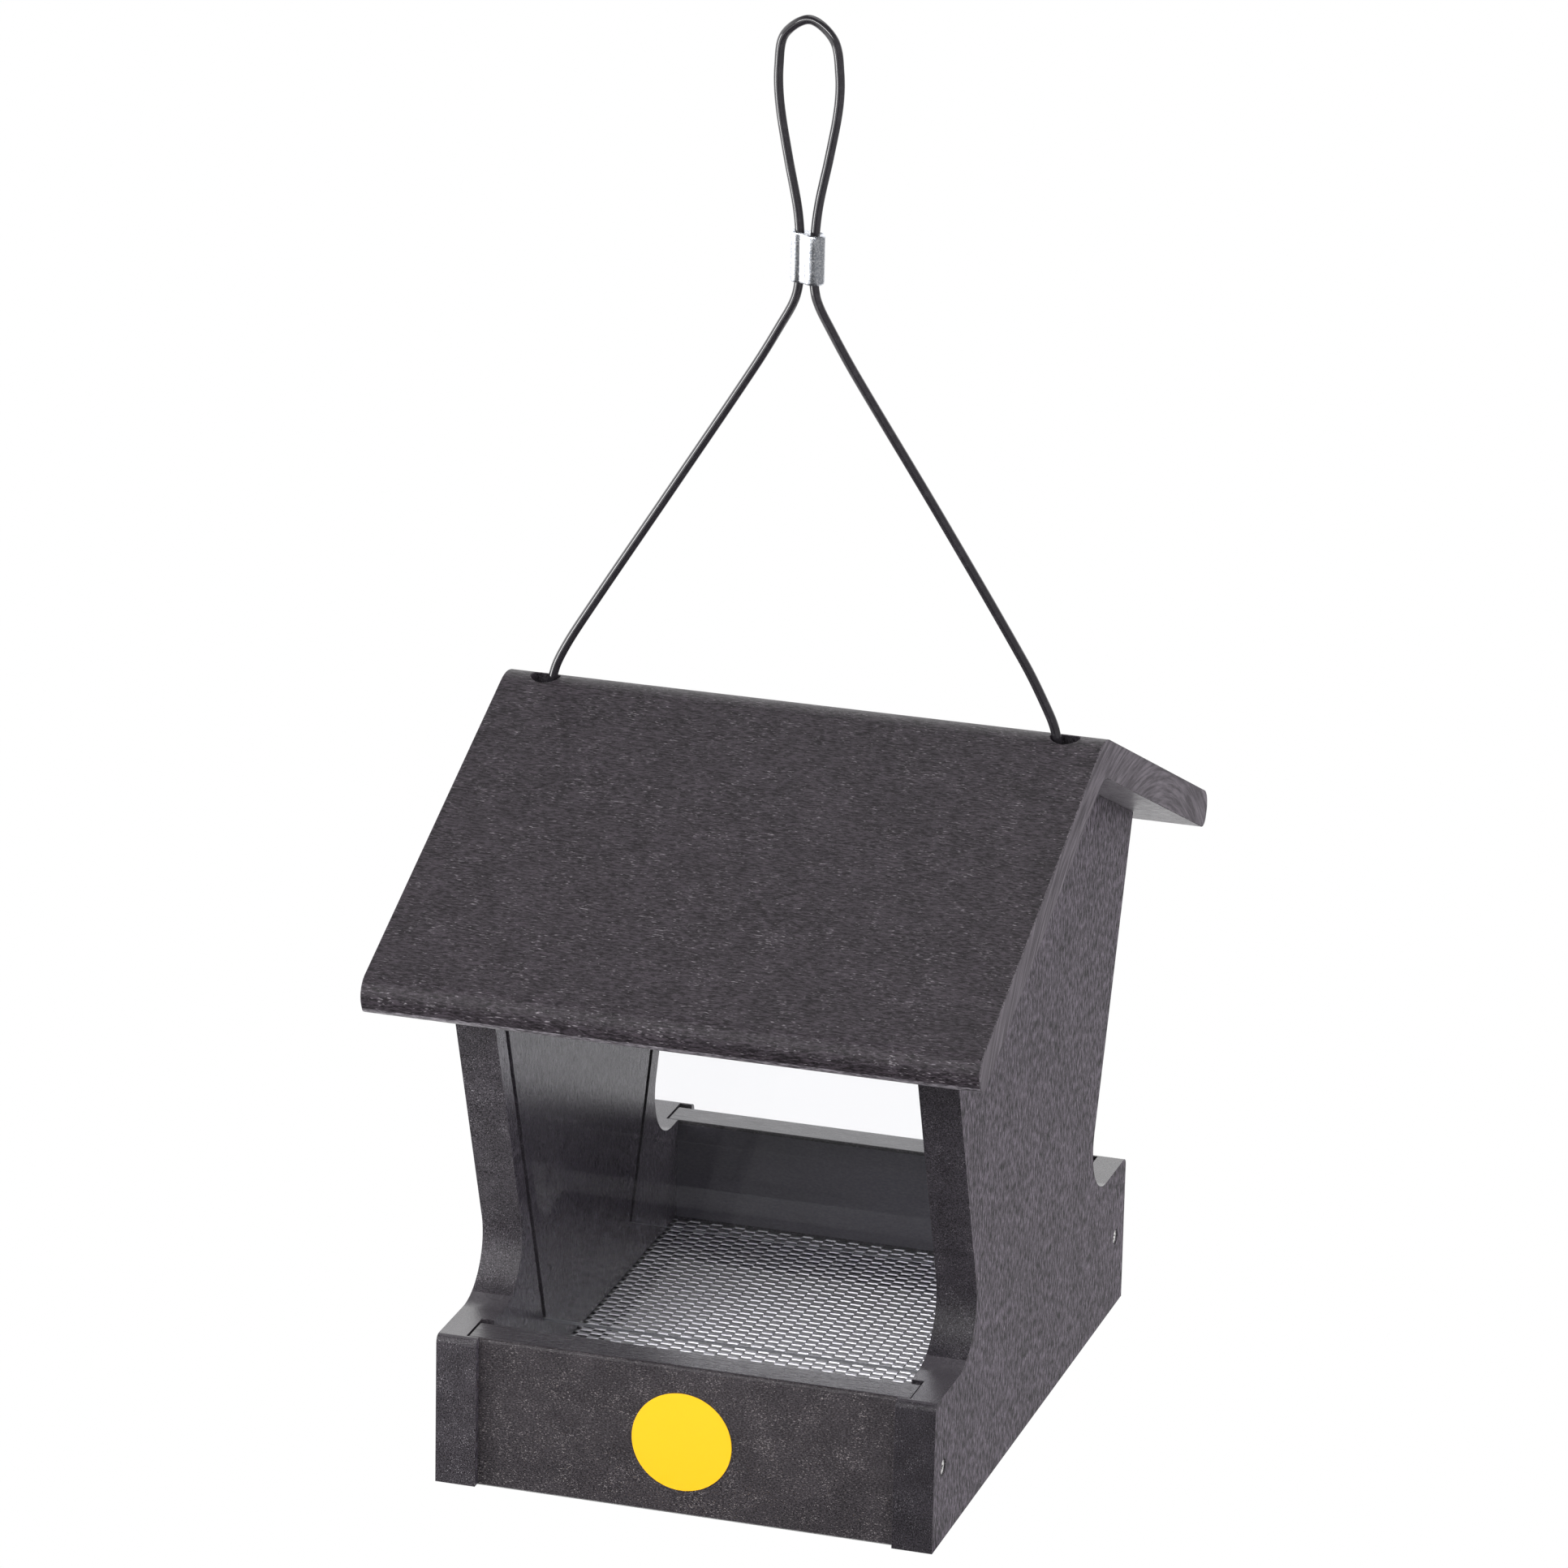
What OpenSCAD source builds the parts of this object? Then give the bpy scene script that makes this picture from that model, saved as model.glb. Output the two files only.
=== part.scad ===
// Hopper bird feeder in recycled plastic boards: two side panels joined by two trough rails,
// two clear panes leaning outward between them, an expanded metal floor and a peaked roof
// that slides up the hanger cable for filling.
// X runs along the ridge, the labelled trough faces -Y, and the base stands on Z = 0.

/* [Side panels] */
// Thickness of the side panels
panel_t = 15.9; // [12:0.1:19]
// Overall width across the outer faces of the two side panels
body_w = 196.8; // [170:0.1:215]
// Depth of the feeder from the front edge to the back edge of a side panel
base_d = 268; // [255:1:285]
// Height of the two troughs
trough_h = 60; // [52:1:66]
// Length of the flat lip above each trough, from the panel's edge to the hollow
lip_l = 30; // [28:0.5:33]
// Radius of the hollow between the lip and the leaning edge
hollow_r = 22; // [16:1:26]
// Lean of the panels' upper edges and of the panes, from upright
lean = 19.5; // [17:0.5:21]
// Radius of the outer corner of each lip
lip_r = 3; // [1:0.5:5]

/* [Trough rails] */
// Thickness of the front and back rails
rail_t = 15.9; // [12:0.1:16.5]
// Distance from the panel's edge to the outer wall of the rail's housing
rail_set = 3.5; // [2:0.1:6]
// Depth of the housings cut in the panels' inner faces
housing_d = 5; // [3:0.5:7]
// Play between a rail and its housing, across the rail
rail_play = 1.9; // [0.5:0.1:2.5]
// Gap between the end of a rail and the bottom of its housing
rail_end_gap = 0.6; // [0.2:0.1:1]
// Amount that a rail's top lies below the panels' lip
rail_drop = 0.4; // [0:0.1:2]
// Radius along the two top edges of a rail
rail_edge_r = 1.6; // [0.5:0.1:3]

/* [Panes] */
// Thickness of the clear panes
pane_t = 3; // [2:0.1:4]
// Play between a pane and its groove, across the pane
pane_play = 1.6; // [0.4:0.1:2]
// Depth of the pane grooves in the panels' inner faces
groove_d = 4.5; // [3:0.5:6]
// Gap between a pane's side edge and the bottom of its groove
pane_side_gap = 0.5; // [0.2:0.1:1]
// Height of the panes' lower edges above the base, which sets the seed gap
pane_foot_z = 38; // [32:1:46]
// Level distance from a panel's leaning edge to the middle of the pane groove
pane_in = 12; // [10.5:0.1:16]
// Gap between the top of a pane and the roof's underside
pane_top_gap = 2.5; // [1:0.5:6]

/* [Mesh floor] */
// Height of the underside of the mesh above the base
mesh_z = 16; // [10:1:22]
// Overall thickness of the expanded metal
mesh_t = 1.5; // [1:0.1:2.5]
// Play of the mesh in its saw kerf
kerf_play = 0.8; // [0.4:0.1:1.2]
// Depth of the saw kerf in the panels and rails
kerf_d = 3; // [2:0.5:4]
// Gap between the mesh's edge and the bottom of the kerf
mesh_edge_gap = 0.5; // [0.2:0.1:1]
// Long way of a gap in the mesh, where each gap stands for a group of small ones
gap_l = 27; // [26.8:0.1:40]
// Short way of a gap in the mesh
gap_w = 20.3; // [20:0.1:28]
// Width of the metal between two gaps
strand_w = 3; // [2:0.1:5]

/* [Roof] */
// Length by which the roof stands out beyond each side panel's outer face
gable_out = 20.9; // [14:0.1:32]
// Length of each slope along its top face
slope_l = 180.6; // [160:0.1:190]
// Thickness of the roof
roof_t = 14.3; // [13:0.1:17]
// Pitch of the two slopes
pitch = 24.5; // [22:0.5:27]
// Height of the point where the two top faces would meet
ridge_z = 282; // [270:0.5:295]
// Radius along the top of the ridge
ridge_r = 17; // [6:1:22]
// Radius of the inside corner under the ridge
ridge_in_r = 14; // [8:1:18]
// Radius of the upper edge at the eaves
nose_r = 8; // [3:0.5:9.5]
// Radius of the lower edge at the eaves
nose_in_r = 4.5; // [0.5:0.5:6]
// Gap between the roof and the side panels that carry it
roof_seat = 0.1; // [0.05:0.05:0.5]
// Radius of the two cable holes in the ridge
hole_r = 5.7; // [4.5:0.1:6.5]
// Distance from a side panel's outer face to the centre of the cable hole beside it
hole_out = 5.1; // [4:0.1:6]

/* [Hardware] */
// Diameter of the coated hanger cable
cable_d = 3.6; // [3:0.1:3.8]
// Clearance around the cable in its sleeves
cable_fit = 0.05; // [0.03:0.01:0.2]
// Diameter of the cable's hole through each side panel
cable_hole_d = 6; // [5.4:0.1:7]
// Outer radius of each barrel of the crimped double sleeve
sleeve_r = 4.1; // [3.4:0.1:5]
// Height of the crimped double sleeve
sleeve_h = 20.6; // [14:0.1:23]
// Outer diameter of the stops crimped on the cable's ends
stop_d = 8; // [6:0.5:12]
// Length of the end stops
stop_l = 10; // [8:0.5:14]
// Diameter of the screw heads
head_d = 6.6; // [5.5:0.1:8]
// Height of a screw head's straight rim
rim_h = 0.3; // [0.2:0.1:0.6]
// Height of a screw head with its cone
head_h = 2.6; // [1.8:0.1:3]
// Diameter of the screw shanks
shank_d = 3.5; // [2.8:0.1:4.2]
// Length of the screws
screw_l = 32; // [25:1:45]
// Clearance around a screw
screw_fit = 0.05; // [0.03:0.01:0.2]
// Radius of the round label on the front rail
label_r = 19.75; // [12:0.25:25]
// Distance of the label from the middle of the front rail
label_x = -1.5; // [-20:0.5:20]
// Thickness of the label
label_t = 0.4; // [0.2:0.1:0.8]

/* [Hidden] */

poly = [0.24, 0.22, 0.24];
poly_face = [0.27, 0.25, 0.27];
steel = [0.75, 0.76, 0.78];
cut = 1;

inner_x = body_w / 2 - panel_t;
hollow_y = base_d / 2 - lip_l;
hollow_z = trough_h + hollow_r;
lean_y = hollow_y - hollow_r * cos(lean);
lean_z = hollow_z + hollow_r * sin(lean);

// Roof: its length and the holes beside the panels
roof_l = body_w + 2 * gable_out;
hole_x = body_w / 2 + hole_out;

// Underside of the roof: height under the ridge, and height at a distance y from it
under_z = ridge_z - roof_t / cos(pitch);
function roof_under(y) = under_z - y * tan(pitch);

// Panel top: it follows the roof's underside down to the corner where it meets the leaning edge
top_z = under_z - roof_seat / cos(pitch);
function panel_top(y) = top_z - y * tan(pitch);
shoulder_y = (lean_y + tan(lean) * (top_z - lean_z)) / (1 + tan(lean) * tan(pitch));
peak_y = ridge_in_r * sin(pitch) + 3;

// Housing walls, measured from the middle of the feeder
housing_out = base_d / 2 - rail_set;
housing_w = rail_t + rail_play;
housing_in = housing_out - housing_w;
rail_h = trough_h - rail_drop;
rail_l = 2 * (inner_x + housing_d - rail_end_gap);
rail_mid = (housing_out + housing_in) / 2;
front_face = housing_out - rail_t;
screw_z = trough_h / 2 + 0.3;
label_z = trough_h / 2 - 0.8;

// Panes: the groove follows the lean, and a pane lies against its outer wall
groove_w = pane_t + pane_play;
pane_foot_y = lean_y - (lean_z - pane_foot_z) * tan(lean) - pane_in;
pane_w = 2 * (inner_x + groove_d - pane_side_gap);
pane_face = groove_w / 2;
pane_reach = roof_under(pane_foot_y) - pane_foot_z
    + pane_face * (sin(lean) - cos(lean) * tan(pitch));
pane_l = pane_reach / (cos(lean) + sin(lean) * tan(pitch)) - pane_top_gap;

// Anchor of the cable: a hole through each panel, high under the ridge, and a stop inside
anchor_z = ridge_z - 46;
face_x = body_w / 2;
stop_in = inner_x - stop_l;

// Hanger cable from its left stop over the loop to its right stop, in the plane Y = 0
cable_route = [
    [-stop_in - 0.5, anchor_z], [3.9 - face_x, anchor_z], [-1.9 - face_x, anchor_z + 2.2],
    [-4.6 - face_x, anchor_z + 7.6], [-4 - face_x, anchor_z + 30], [-1.6 - face_x, ridge_z + 0.5],
    [2.6 - face_x, ridge_z + 10.5], [11.7 - face_x, ridge_z + 26], [-53.3, 361.5],
    [-21.7, 412.5], [-12.2, 429.2],
    [-6.7, 440], [-5.1, 449], [-5.1, 462], [-6.4, 475], [-10.6, 495], [-14.2, 515],
    [-14.8, 529], [-12.8, 541], [-3.2, 547.5], [6.2, 540.5], [8.8, 528], [8.7, 515],
    [5.6, 496], [1.8, 476.5], [0.5, 462], [0.5, 449], [2, 440], [7.7, 429.2], [17.9, 412.5],
    [51.9, 361.5], [face_x - 12, ridge_z + 26], [face_x - 3.4, ridge_z + 10.5],
    [face_x + 1, ridge_z + 0.5],
    [face_x + 4, anchor_z + 30], [face_x + 4.6, anchor_z + 7.6], [face_x + 1.9, anchor_z + 2.2],
    [face_x - 3.9, anchor_z], [stop_in + 0.5, anchor_z]];
sleeve_x = -2.3;
sleeve_z = 446;
barrel_gap = 5.6;

// Points of an arc in a plane, from angle a0 to angle a1
function arc(c, r, a0, a1, n = 10) =
    [for (i = [0 : n]) let (a = a0 + (a1 - a0) * i / n) [c[0] + r * cos(a), c[1] + r * sin(a)]];

// The right half of an outline, completed by its mirror image; it starts and ends at y = 0
function both_halves(half) =
    concat(half, [for (i = [len(half) - 2 : -1 : 1]) [-half[i][0], half[i][1]]]);

// A point of the roof's section: s along the slope from the ridge, d below its top face
function roof_point(s, d) =
    [s * cos(pitch) - d * sin(pitch), ridge_z - s * sin(pitch) - d * cos(pitch)];

// Stands an outline drawn in (y, z) upright and gives it a length along X, from x0
module along_x(x0, length) {
    translate([x0, 0, 0]) rotate([90, 0, 90]) linear_extrude(height = length) children();
}

module panel_outline() {
    polygon(both_halves(concat(
        [[0, 0], [base_d / 2, 0]],
        arc([base_d / 2 - lip_r, trough_h - lip_r], lip_r, 0, 90, 6),
        arc([hollow_y, hollow_z], hollow_r, 270, 180 - lean, 20),
        [[shoulder_y, panel_top(shoulder_y)], [peak_y, panel_top(peak_y)], [0, panel_top(peak_y)]])));
}

module roof_outline() {
    polygon(both_halves(concat(
        arc([0, ridge_z - ridge_r / cos(pitch)], ridge_r, 90, 90 - pitch, 6),
        arc(roof_point(slope_l - nose_r, nose_r), nose_r, 90 - pitch, -pitch, 12),
        arc(roof_point(slope_l - nose_in_r, roof_t - nose_in_r), nose_in_r, -pitch, -90 - pitch, 8),
        arc([0, under_z - ridge_in_r / cos(pitch)], ridge_in_r, 90 - pitch, 90, 4))));
}

// A leaning slab on the back side of the feeder, standing on the foot of the pane
module leaning_slab(width, thickness, length, shift) {
    translate([0, pane_foot_y, pane_foot_z]) rotate([-lean, 0, 0])
        translate([-width / 2, shift - thickness / 2, 0]) cube([width, thickness, length]);
}

// Room for a screw: its rim, cone and shank with the clearance around them
module screw_room() {
    rotate([0, -90, 0]) rotate_extrude($fn = 32) polygon([
        [0, -cut], [head_d / 2 + screw_fit, -cut], [head_d / 2 + screw_fit, rim_h],
        [shank_d / 2 + screw_fit, head_h], [shank_d / 2 + screw_fit, screw_l + cut],
        [0, screw_l + cut]]);
}

module side_panel_right() {
    color(poly) difference() {
        along_x(inner_x, panel_t) panel_outline();
        for (side = [-1, 1]) {
            // Housing of a rail, open at the top and at the bottom
            translate([inner_x - cut, side > 0 ? housing_in : -housing_out, -cut])
                cube([housing_d + cut, housing_w, trough_h + 2 * cut]);
            // Groove of a pane, closed at its foot
            mirror([0, side > 0 ? 0 : 1, 0])
                leaning_slab(2 * (inner_x + groove_d), groove_w, ridge_z, 0);
            translate([face_x, side * rail_mid, screw_z]) screw_room();
        }
        // Saw kerf for the mesh floor
        translate([inner_x - cut, -housing_out, mesh_z])
            cube([kerf_d + cut, 2 * housing_out, mesh_t + kerf_play]);
        // Hole for the hanger cable
        translate([inner_x - cut, 0, anchor_z]) rotate([0, 90, 0])
            cylinder(h = panel_t + 2 * cut, r = cable_hole_d / 2, $fn = 48);
    }
}

module side_panel_left() {
    mirror([1, 0, 0]) side_panel_right();
}

// A rail on the back side of the feeder, whose inner face stands at y = face
module rail(face) {
    color(poly_face) difference() {
        along_x(-rail_l / 2, rail_l) polygon(concat(
            [[face, 0], [face + rail_t, 0]],
            arc([face + rail_t - rail_edge_r, rail_h - rail_edge_r], rail_edge_r, 0, 90, 5),
            arc([face + rail_edge_r, rail_h - rail_edge_r], rail_edge_r, 90, 180, 5)));
        translate([-rail_l, face - cut, mesh_z])
            cube([2 * rail_l, kerf_d + cut, mesh_t + kerf_play]);
        for (side = [0, 1]) mirror([side, 0, 0])
            translate([face_x, rail_mid, screw_z]) screw_room();
    }
}

// The front rail stands against the outer wall of its housings, the back rail against the inner
module front_rail() {
    mirror([0, 1, 0]) rail(front_face);
}

module back_rail() {
    rail(housing_in);
}

module roof() {
    color(poly) difference() {
        along_x(-roof_l / 2, roof_l) roof_outline();
        for (side = [-1, 1]) translate([side * hole_x, 0, under_z - ridge_r])
            cylinder(h = 2 * ridge_r + roof_t, r = hole_r, $fn = 64);
    }
}

module back_pane() {
    color([0.85, 0.93, 0.97, 0.4])
        leaning_slab(pane_w, pane_t, pane_l, pane_play / 2);
}

module front_pane() {
    mirror([0, 1, 0]) back_pane();
}

module diamond(length, width) {
    translate([0, 0, mesh_z - cut]) linear_extrude(height = mesh_t + 2 * cut)
        polygon([[-length / 2, 0], [0, -width / 2], [length / 2, 0], [0, width / 2]]);
}

module mesh_floor() {
    reach = kerf_d - mesh_edge_gap;
    middle = (housing_in - front_face) / 2;
    open_y = housing_in + front_face;
    across = floor((2 * inner_x - strand_w) / gap_l);
    deep = floor((open_y - strand_w) / gap_w);
    color(steel) difference() {
        translate([-inner_x - reach, -front_face - reach, mesh_z])
            cube([2 * (inner_x + reach), open_y + 2 * reach, mesh_t]);
        for (row = [0 : 2 * deep - 2]) {
            count = across - row % 2;
            for (i = [0 : count - 1])
                translate([(i - (count - 1) / 2) * gap_l, middle + (row / 2 - (deep - 1) / 2) * gap_w, 0])
                    diamond(gap_l - 1.4 * strand_w, gap_w - 1.4 * strand_w);
        }
    }
}

// A countersunk screw that enters the right panel: head at the origin, tip towards -X
module screw() {
    tip = 4;
    color(steel) difference() {
        rotate([0, -90, 0]) rotate_extrude($fn = 32) polygon([
            [0, 0], [head_d / 2, 0], [head_d / 2, rim_h], [shank_d / 2, head_h],
            [shank_d / 2, screw_l - tip], [0, screw_l]]);
        for (turn = [0, 90]) rotate([turn, 0, 0])
            translate([-1.4, -head_d / 4, -0.45]) cube([1.4 + cut, head_d / 2, 0.9]);
    }
}

module placed_screw(side_x, side_y) {
    mirror([side_x > 0 ? 0 : 1, 0, 0])
        translate([face_x, side_y * rail_mid, screw_z]) screw();
}

// The cable's smooth path: a cubic through the route's points, where each point's direction is
// the line between its two neighbours, and its speed is one millimetre for each of chord length
function chord(i) = norm(cable_route[i + 1] - cable_route[i]);
function heading(i) =
    let (a = max(i - 1, 0), b = min(i + 1, len(cable_route) - 1))
        (cable_route[b] - cable_route[a]) / (chord(a) + (b - a > 1 ? chord(b - 1) : 0));
function on_route(i, u) =
    (2 * u ^ 3 - 3 * u ^ 2 + 1) * cable_route[i] + (3 * u ^ 2 - 2 * u ^ 3) * cable_route[i + 1]
    + chord(i) * ((u ^ 3 - 2 * u ^ 2 + u) * heading(i) + (u ^ 3 - u ^ 2) * heading(i + 1));

// Tube along the path, with a ring of corners square to it at each route point and halfway
module hanger_cable() {
    sides = 8;
    spans = len(cable_route) - 1;
    path = concat([for (i = [0 : spans - 1], u = [0, 0.5]) on_route(i, u)], [cable_route[spans]]);
    last = len(path) - 1;
    function ahead(i) = path[min(i + 1, last)] - path[max(i - 1, 0)];
    points = [for (i = [0 : last]) let (d = ahead(i) / norm(ahead(i)))
        for (k = [0 : sides - 1]) let (a = 360 * (k + 0.5) / sides, u = cable_d / 2 * cos(a))
            [path[i][0] - u * d[1], cable_d / 2 * sin(a), path[i][1] + u * d[0]]];
    walls = [for (i = [0 : last - 1], k = [0 : sides - 1]) let (n = (k + 1) % sides)
        [i * sides + k, (i + 1) * sides + k, (i + 1) * sides + n, i * sides + n]];
    ends = [[for (k = [0 : sides - 1]) k], [for (k = [sides - 1 : -1 : 0]) last * sides + k]];
    color([0.06, 0.06, 0.07]) polyhedron(points, concat(walls, ends), convexity = 10);
}

// Double sleeve: two barrels side by side with a flat web between them
module cable_sleeve() {
    color(steel) translate([sleeve_x, 0, sleeve_z]) difference() {
        linear_extrude(height = sleeve_h) union() {
            for (side = [-1, 1]) translate([side * barrel_gap / 2, 0]) circle(r = sleeve_r, $fn = 40);
            square([barrel_gap, 1.7 * sleeve_r], center = true);
        }
        for (side = [-1, 1]) translate([side * barrel_gap / 2, 0, -cut])
            cylinder(h = sleeve_h + 2 * cut, r = cable_d / 2 + cable_fit, $fn = 32);
    }
}

module cable_stop_right() {
    color(steel) translate([stop_in, 0, anchor_z]) rotate([0, 90, 0]) difference() {
        cylinder(h = stop_l, r = stop_d / 2, $fn = 32);
        translate([0, 0, -cut])
            cylinder(h = stop_l + 2 * cut, r = cable_d / 2 + cable_fit, $fn = 32);
    }
}

module cable_stop_left() {
    mirror([1, 0, 0]) cable_stop_right();
}

module label_disc() {
    color([1, 0.78, 0.02]) translate([label_x, -housing_out, label_z]) rotate([90, 0, 0])
        cylinder(h = label_t, r = label_r, $fn = 96);
}

side_panel_left();
side_panel_right();
front_rail();
back_rail();
roof();
front_pane();
back_pane();
mesh_floor();
placed_screw(-1, -1);  // screw_front_left
placed_screw(1, -1);  // screw_front_right
placed_screw(-1, 1);  // screw_back_left
placed_screw(1, 1);  // screw_back_right
hanger_cable();
cable_sleeve();
cable_stop_left();
cable_stop_right();
label_disc();
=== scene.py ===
from math import cos, radians, sin

import bmesh
import bpy
import numpy as np
from mathutils import Matrix, Vector


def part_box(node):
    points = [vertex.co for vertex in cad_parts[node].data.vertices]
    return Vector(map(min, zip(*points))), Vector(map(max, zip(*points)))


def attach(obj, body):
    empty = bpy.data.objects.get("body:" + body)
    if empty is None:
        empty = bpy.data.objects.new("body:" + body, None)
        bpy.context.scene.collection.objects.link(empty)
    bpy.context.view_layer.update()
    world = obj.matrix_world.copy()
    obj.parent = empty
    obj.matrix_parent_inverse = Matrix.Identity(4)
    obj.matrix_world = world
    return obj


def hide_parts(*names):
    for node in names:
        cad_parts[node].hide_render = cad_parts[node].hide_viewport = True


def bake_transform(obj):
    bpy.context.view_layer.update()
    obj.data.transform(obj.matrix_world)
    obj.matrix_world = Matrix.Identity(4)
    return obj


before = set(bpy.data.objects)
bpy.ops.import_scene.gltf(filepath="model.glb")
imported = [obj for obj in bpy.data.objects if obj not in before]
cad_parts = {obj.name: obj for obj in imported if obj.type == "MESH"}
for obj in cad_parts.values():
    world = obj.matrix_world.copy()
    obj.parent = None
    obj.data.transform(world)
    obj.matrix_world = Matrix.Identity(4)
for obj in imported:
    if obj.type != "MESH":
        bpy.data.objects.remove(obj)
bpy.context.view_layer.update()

# The view: a long lens a little right of the front and above the eaves, about three metres away
# and turned slightly about its own axis, with the hanging feeder filling the frame.
azimuth, elevation, turn = radians(17.08), radians(18.94), radians(1.22)
back = Vector((sin(azimuth) * cos(elevation), -cos(azimuth) * cos(elevation), sin(elevation)))
level = (-back).cross(Vector((0, 0, 1))).normalized()
upright = level.cross(-back)
right = level * cos(turn) + upright * sin(turn)
up = upright * cos(turn) - level * sin(turn)
aim, distance, shift_left, shift_up = Vector((0, 0, 0.130)), 3.178, 0.00422, 0.11243
eye = aim + back * distance - right * shift_left + up * shift_up
focal_length, frame_width = 10144, 1932  # in pixels
camera = bpy.data.objects.new("camera", bpy.data.cameras.new("camera"))
camera.data.sensor_width = 36
camera.data.lens = camera.data.sensor_width * focal_length / frame_width
camera.data.clip_end = 50
camera.matrix_world = Matrix((right, up, back)).transposed().to_4x4()
camera.matrix_world.translation = eye
bpy.context.collection.objects.link(camera)
bpy.context.scene.camera = camera

# Hanger cable: wire rope of 3.6 mm with a smooth black coat. It comes out of a hole high in each
# side panel, goes up through the ridge and ends in a loop over the crimped sleeve.
cable_r, panel_hole_z, cable_end_x = 0.0018, 0.236, 0.073
bend_z, ridge_z, legs_meet_z = 0.2445, 0.2825, 0.440
route = np.array([
    (-73.0, 236), (-94.5, 236), (-100.3, 238.2), (-103, 243.6), (-102.4, 266), (-100, 282.5),
    (-95.8, 292.5), (-86.7, 308), (-53.3, 361.5), (-21.7, 412.5), (-12.2, 429.2), (-6.7, 440),
    (-5.1, 449), (-5.1, 462), (-6.4, 475), (-10.6, 495), (-14.2, 515), (-14.8, 529),
    (-12.8, 541), (-3.2, 547.35), (6.2, 540.5), (8.8, 528), (8.7, 515), (5.6, 496),
    (1.8, 476.5), (0.5, 462), (0.5, 449), (2, 440), (7.7, 429.2), (17.9, 412.5),
    (51.9, 361.5), (86.4, 308), (95, 292.5), (99.4, 282.5), (102.4, 266), (103, 243.6),
    (100.3, 238.2), (94.5, 236), (73.0, 236)]) / 1000


def smooth_path(points, steps):
    """A cubic through each pair of points. The direction at a point is the line between its two
    neighbours, at a speed of one for each of chord length."""
    chord = np.linalg.norm(np.diff(points, axis=0), axis=1)
    ahead, behind = points[1:], points[:-1]
    heading = np.empty_like(points)
    heading[1:-1] = (points[2:] - points[:-2]) / (chord[1:] + chord[:-1])[:, None]
    heading[0] = (ahead[0] - behind[0]) / chord[0]
    heading[-1] = (ahead[-1] - behind[-1]) / chord[-1]
    u = (np.arange(steps) / steps)[None, :, None]
    h = chord[:, None, None]
    spans = ((2 * u**3 - 3 * u**2 + 1) * behind[:, None] + (3 * u**2 - 2 * u**3) * ahead[:, None]
             + h * ((u**3 - 2 * u**2 + u) * heading[:-1, None] + (u**3 - u**2) * heading[1:, None]))
    return np.vstack([spans.reshape(-1, points.shape[1]), points[-1:]])


def new_piece(name, points, faces, smooth=True):
    """An object of that name from arrays of points and faces, with its sharp edges kept."""
    mesh = bpy.data.meshes.new(name)
    mesh.from_pydata(np.asarray(points, float).tolist(), [], [list(map(int, f)) for f in faces])
    mesh.polygons.foreach_set("use_smooth", np.full(len(mesh.polygons), smooth))
    mesh.set_sharp_from_angle(angle=radians(50))
    mesh.update()
    piece = bpy.data.objects.new(name, mesh)
    bpy.context.collection.objects.link(piece)
    return piece


def grid_faces(rows, around):
    """Quads between neighbouring rows of points, each of which closes on itself."""
    row, k = np.meshgrid(np.arange(rows - 1), np.arange(around), indexing="ij")
    n = (k + 1) % around
    return np.stack([row * around + k, row * around + n, (row + 1) * around + n,
                     (row + 1) * around + k], -1).reshape(-1, 4)


def capped_faces(rows, around):
    """The quads of closed rows, with one more face over the first row and one over the last."""
    first_row = np.arange(around)
    return [*grid_faces(rows, around), first_row[::-1], (rows - 1) * around + first_row]


def tube_rings(path, radius, sides=16):
    """The rings of a round tube in the plane Y = 0, one at each point of the path, square to it."""
    heading = np.gradient(path, axis=0)
    heading /= np.linalg.norm(heading, axis=1)[:, None]
    turns = 2 * np.pi * np.arange(sides) / sides
    side, deep = radius * np.cos(turns), radius * np.sin(turns)
    x = path[:, :1] - heading[:, 1:] * side
    z = path[:, 1:] + heading[:, :1] * side
    return np.stack([x, np.broadcast_to(deep, x.shape), z], -1)


def tube(name, rings):
    """A tube through some of the rings, closed at both ends."""
    return new_piece(name, rings.reshape(-1, 3), capped_faces(*rings.shape[:2]))


def put(tree, kind, ins=None, **settings):
    """One node of a material: a socket among its inputs is linked, and a value is set."""
    node = tree.nodes.new(kind)
    for key, value in settings.items():
        setattr(node, key, value)
    for key, value in (ins or {}).items():
        if isinstance(value, bpy.types.NodeSocket):
            tree.links.new(value, node.inputs[key])
        else:
            node.inputs[key].default_value = value
    return node


def finish_named(name, **sockets):
    """A material with one Principled shader: its node tree, the shader and object coordinates."""
    material = bpy.data.materials.new(name)
    material.use_nodes = True
    tree = material.node_tree
    shader = tree.nodes["Principled BSDF"]
    for key, value in sockets.items():
        shader.inputs[key.replace("_", " ")].default_value = value
    return material, tree, shader, put(tree, "ShaderNodeTexCoord").outputs["Object"]


def noise(tree, vector, scale, detail=2.0, roughness=0.5):
    """A cloudy value from 0 to 1 that repeats about as often in a metre as the scale says."""
    return put(tree, "ShaderNodeTexNoise", {
        "Vector": vector, "Scale": scale, "Detail": detail, "Roughness": roughness}).outputs["Fac"]


def ramp(tree, value, low, high, out_low=0.0, out_high=1.0):
    """Carries low to out_low and high to out_high, and stays level beyond them."""
    return put(tree, "ShaderNodeMapRange", {
        "Value": value, "From Min": low, "From Max": high, "To Min": out_low,
        "To Max": out_high}).outputs["Result"]


def blend_colours(tree, share, first, second):
    """The first colour for a share of 0 and the second for 1."""
    return put(tree, "ShaderNodeMix", {0: share, 6: first, 7: second}, data_type="RGBA").outputs[2]


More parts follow.
